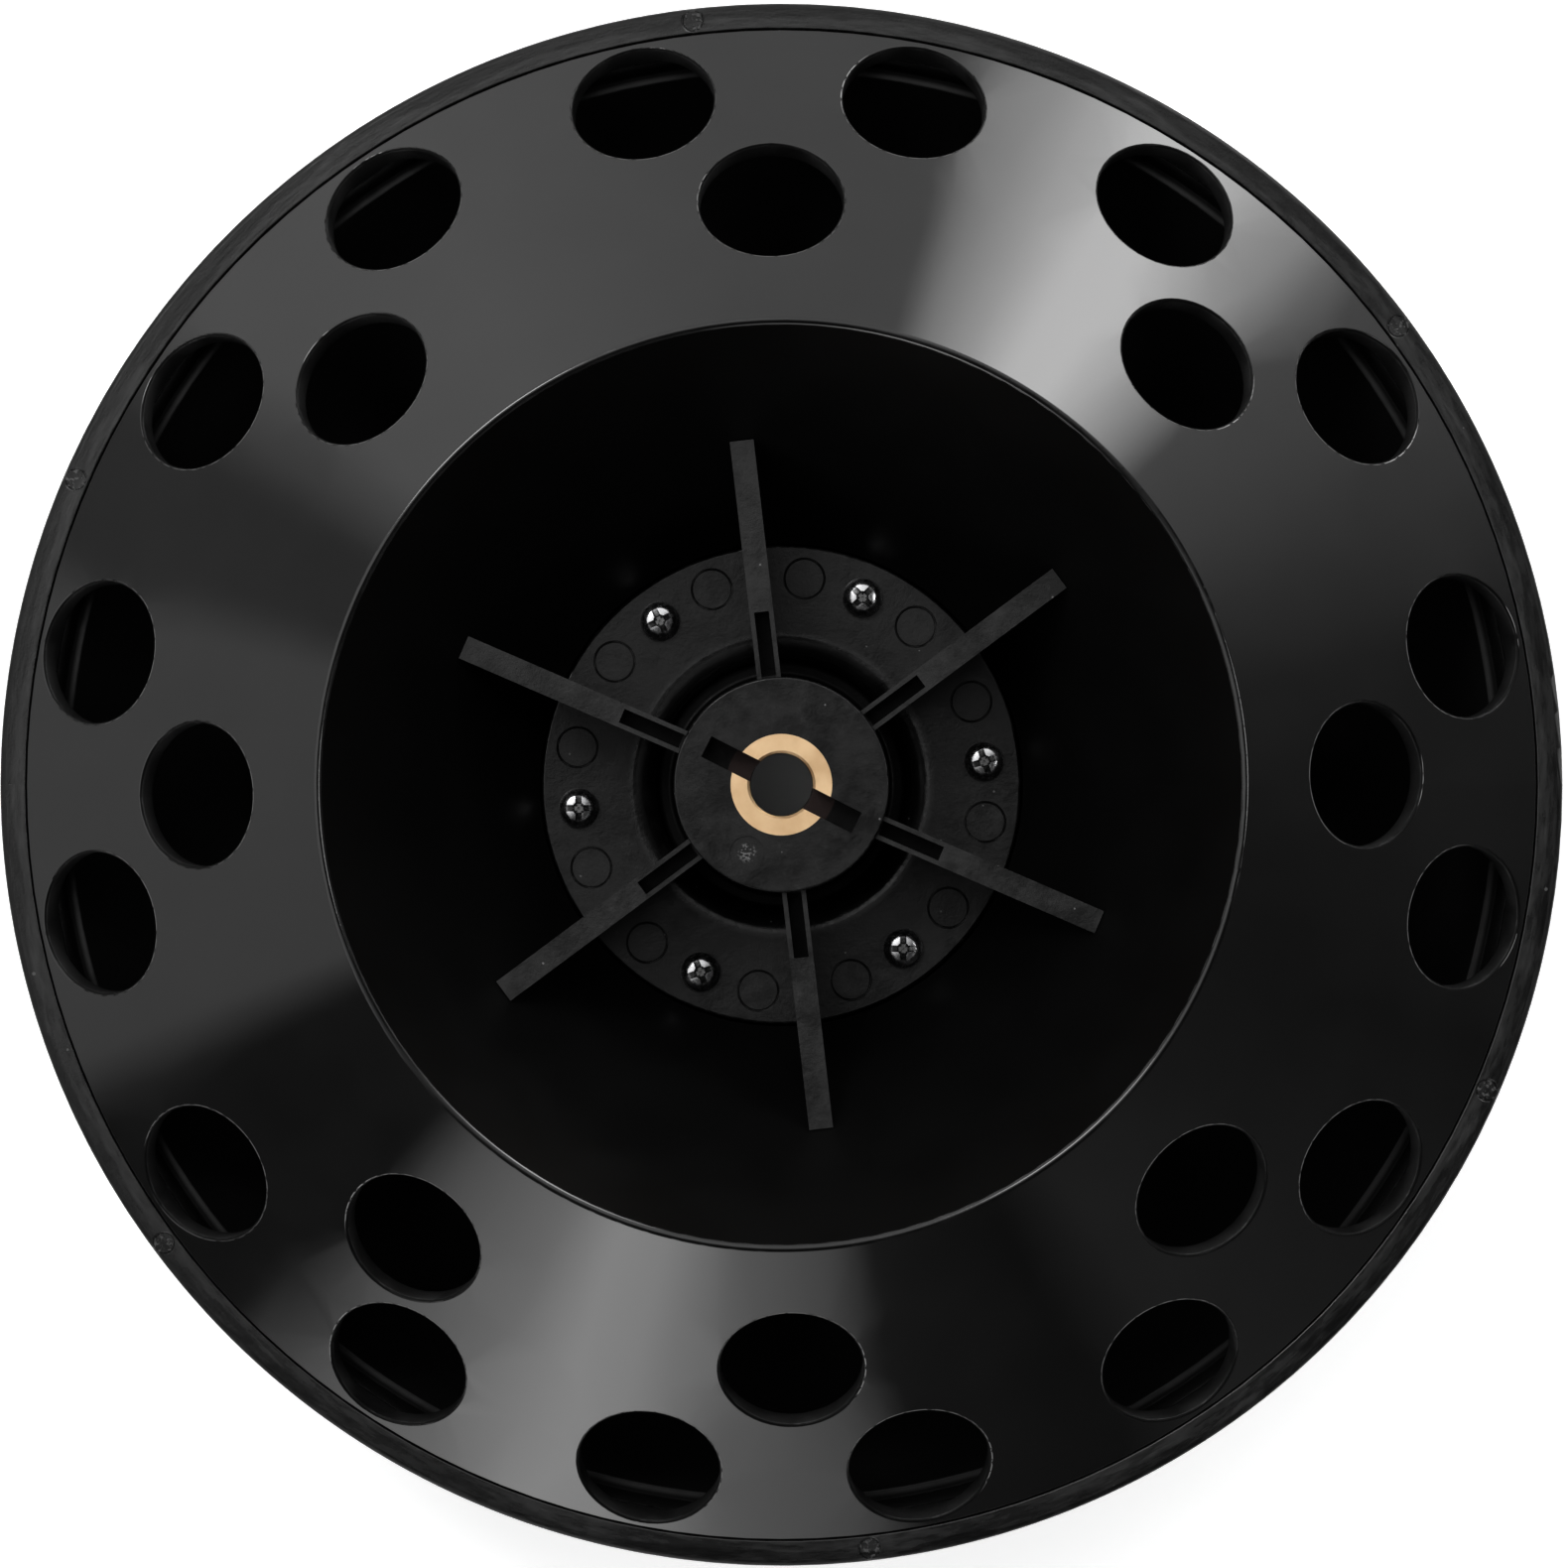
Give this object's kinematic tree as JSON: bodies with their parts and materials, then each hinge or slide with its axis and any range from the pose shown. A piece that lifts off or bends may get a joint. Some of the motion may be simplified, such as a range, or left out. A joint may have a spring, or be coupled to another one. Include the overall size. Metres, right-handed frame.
{
  "type": "fixed angle rotor",
  "caption": "Round plastic fixed angle centrifuge rotor: two cone shells with slanting tube holes, a central well, and a finned drive hub with a brass bush and cross slot.",
  "frame": {"origin": "on the spin axis, in the plane of the crest ring on the mouth side, on which the rotor rests when it is put down with its drive side up", "axes": "+Z along the spin axis, from the tube mouths towards the drive side, which looks up; +X and +Y in the crest plane, with the drive slot 27 degrees clockwise from +X"},
  "size_m": [0.224, 0.224, 0.0813],
  "materials": {
    "matte_black": "black moulded thermoplastic, satin to matte",
    "gloss_black": "black thermoplastic, polished high gloss",
    "hub_black": "black moulded thermoplastic, matte",
    "brass": "turned brass",
    "steel": "bright zinc-plated steel",
    "insert_brass": "plain brass"
  },
  "bodies": {
    "root": {"upper_shell": "matte_black", "lower_shell": "gloss_black", "drive_hub": "hub_black", "hub_bush": "brass", "hub_screws": "steel", "screw_inserts": "insert_brass"}
  },
  "joints": []
}
